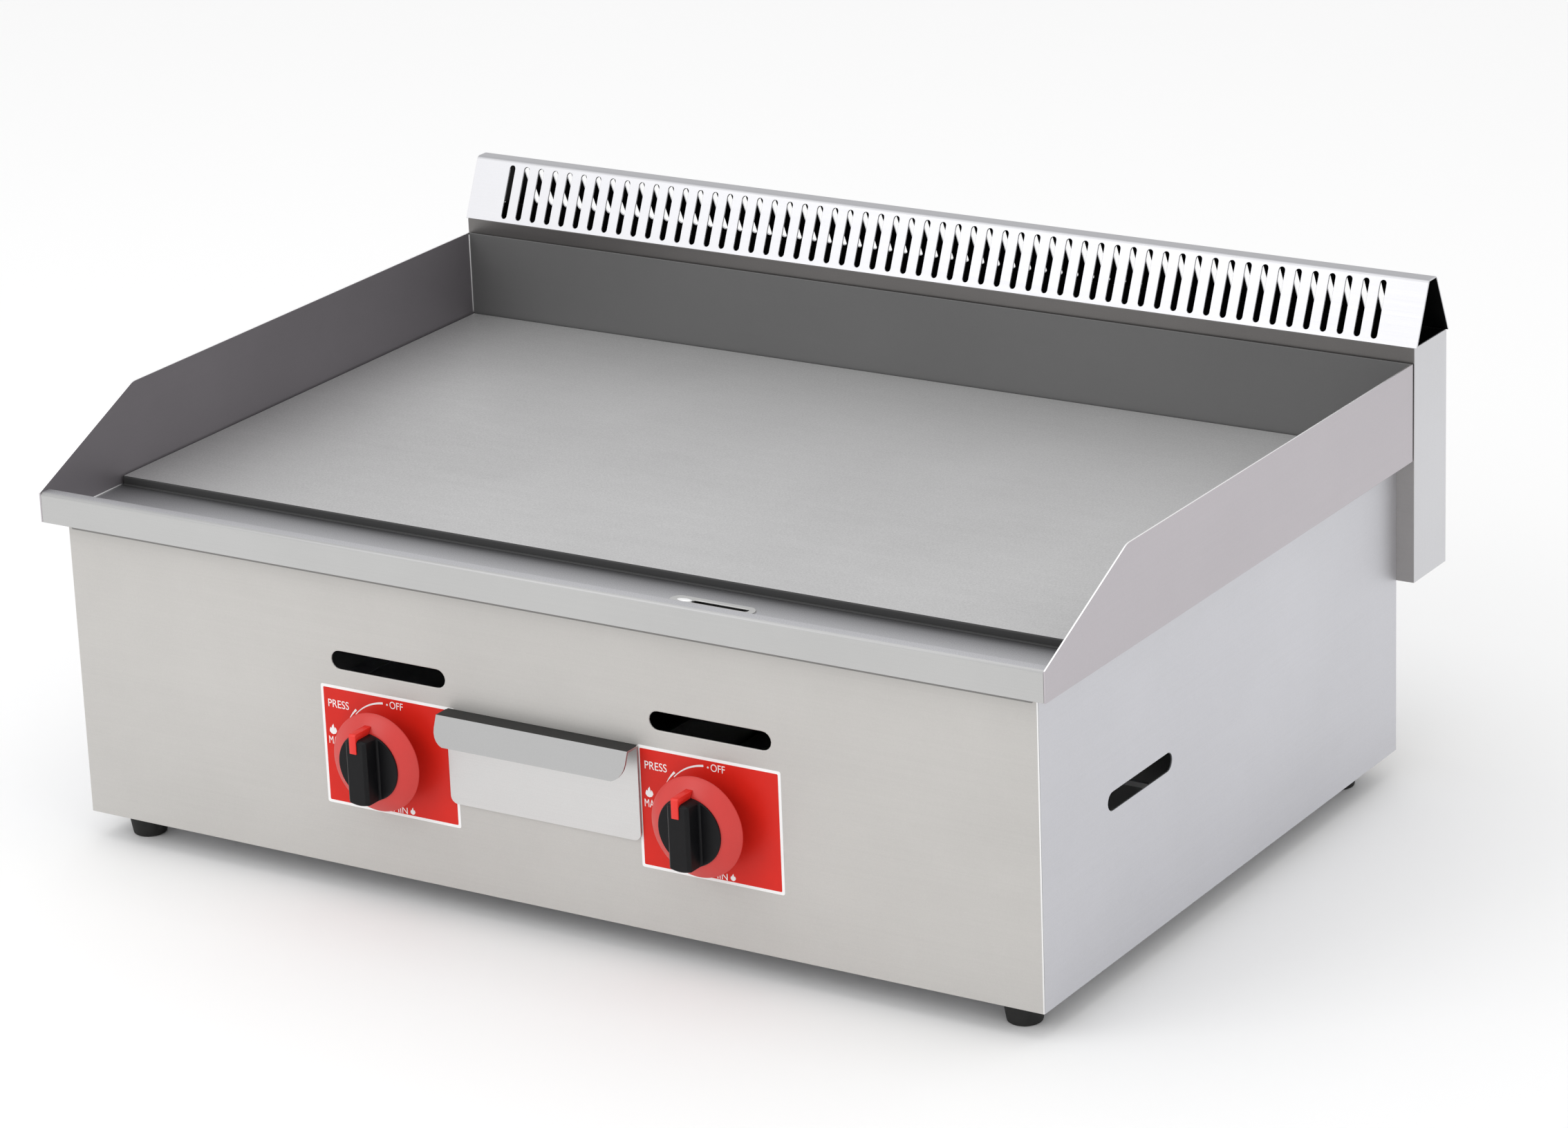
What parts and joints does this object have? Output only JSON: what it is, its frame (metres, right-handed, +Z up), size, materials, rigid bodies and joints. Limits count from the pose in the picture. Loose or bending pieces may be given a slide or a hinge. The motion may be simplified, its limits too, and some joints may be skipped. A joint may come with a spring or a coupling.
{
  "type": "countertop gas griddle",
  "caption": "Flat-top gas griddle with splash guards, louvred rear flue, two press-and-turn knobs and a sliding grease drawer.",
  "frame": {"origin": "on the table, under the centre of the overall bounding box", "axes": "+X to the right as seen by the cook, +Y to the back, +Z up"},
  "size_m": [0.734, 0.556, 0.3337],
  "materials": {
    "cabinet_steel": "satin brushed stainless sheet",
    "rear_steel": "plain galvanised sheet",
    "deck_steel": "brushed stainless sheet",
    "plate_steel": "ground steel plate",
    "flue_steel": "brushed stainless sheet",
    "drawer_steel": "satin stainless sheet",
    "inner_steel": "dull aluminised sheet",
    "burner_steel": "heat-darkened tube",
    "copper": "drawn copper",
    "brass": "machined",
    "zinc_plate": "zinc plated",
    "knob_red": "satin moulded",
    "knob_black": "satin moulded",
    "indicator_red": "gloss",
    "label_red": "printed film",
    "foot_rubber": "matt"
  },
  "bodies": {
    "root": {"front_panel": "cabinet_steel", "left_side_panel": "cabinet_steel", "right_side_panel": "cabinet_steel", "rear_panel": "rear_steel", "base_pan": "rear_steel", "deck_tray": "deck_steel", "left_splash": "deck_steel", "right_splash": "deck_steel", "back_splash": "deck_steel", "griddle_plate": "plate_steel", "grease_chute": "inner_steel", "flue_box": "flue_steel", "flue_hood": "flue_steel", "left_heat_shield": "inner_steel", "right_heat_shield": "inner_steel", "front_heat_shield": "inner_steel", "left_burner": "burner_steel", "right_burner": "burner_steel", "front_burner_rail": "inner_steel", "rear_burner_rail": "inner_steel", "left_injector": "brass", "right_injector": "brass", "left_thermocouple": "copper", "right_thermocouple": "copper", "manifold_pipe": "zinc_plate", "supply_elbow": "brass", "supply_pipe": "zinc_plate", "inlet_nipple": "brass", "inlet_locknut": "brass", "left_valve_body": "brass", "right_valve_body": "brass", "left_valve_bonnet": "zinc_plate", "right_valve_bonnet": "zinc_plate", "left_valve_spring": "zinc_plate", "right_valve_spring": "zinc_plate", "left_label": "label_red", "right_label": "label_red", "left_drawer_runner": "inner_steel", "right_drawer_runner": "inner_steel", "front_left_foot": "foot_rubber", "front_right_foot": "foot_rubber", "rear_left_foot": "foot_rubber", "rear_right_foot": "foot_rubber", "foot_bolts": "zinc_plate", "foot_nuts": "zinc_plate", "panel_screws": "zinc_plate"},
    "left_plunger": {"left_thrust_washer": "zinc_plate"},
    "right_plunger": {"right_thrust_washer": "zinc_plate"},
    "left_knob": {"left_knob_stem": "zinc_plate", "left_knob_skirt": "knob_red", "left_knob_grip": "knob_black", "left_knob_indicator": "indicator_red"},
    "right_knob": {"right_knob_stem": "zinc_plate", "right_knob_skirt": "knob_red", "right_knob_grip": "knob_black", "right_knob_indicator": "indicator_red"},
    "drawer": {"drawer_tray": "drawer_steel", "drawer_front": "drawer_steel"},
    "left_shutter": {"left_air_shutter": "zinc_plate"},
    "right_shutter": {"right_air_shutter": "zinc_plate"}
  },
  "joints": [
    {"name": "left_knob_press", "type": "slide", "parent": "root", "child": "left_plunger", "axis": [0, 1, 0], "range_m": [0, 0.004], "stiffness_N_per_m": 500, "springref_m": -0.006, "deforming": ["left_valve_spring"]},
    {"name": "left_knob_turn", "type": "hinge", "parent": "left_plunger", "child": "left_knob", "pos_m": [-0.109, -0.2634, 0.1002], "axis": [0, -1, 0], "range_deg": [0, 180]},
    {"name": "left_shutter_turn", "type": "hinge", "parent": "root", "child": "left_shutter", "pos_m": [-0.109, -0.1702, 0.1002], "axis": [0, 1, 0], "range_deg": [-15, 30]},
    {"name": "right_knob_press", "type": "slide", "parent": "root", "child": "right_plunger", "axis": [0, 1, 0], "range_m": [0, 0.004], "stiffness_N_per_m": 500, "springref_m": -0.006, "deforming": ["right_valve_spring"]},
    {"name": "right_knob_turn", "type": "hinge", "parent": "right_plunger", "child": "right_knob", "pos_m": [0.1265, -0.2634, 0.1002], "axis": [0, -1, 0], "range_deg": [0, 180]},
    {"name": "right_shutter_turn", "type": "hinge", "parent": "root", "child": "right_shutter", "pos_m": [0.1265, -0.1702, 0.1002], "axis": [0, 1, 0], "range_deg": [-15, 30]},
    {"name": "drawer_slide", "type": "slide", "parent": "root", "child": "drawer", "axis": [0, -1, 0], "range_m": [0, 0.2]}
  ]
}
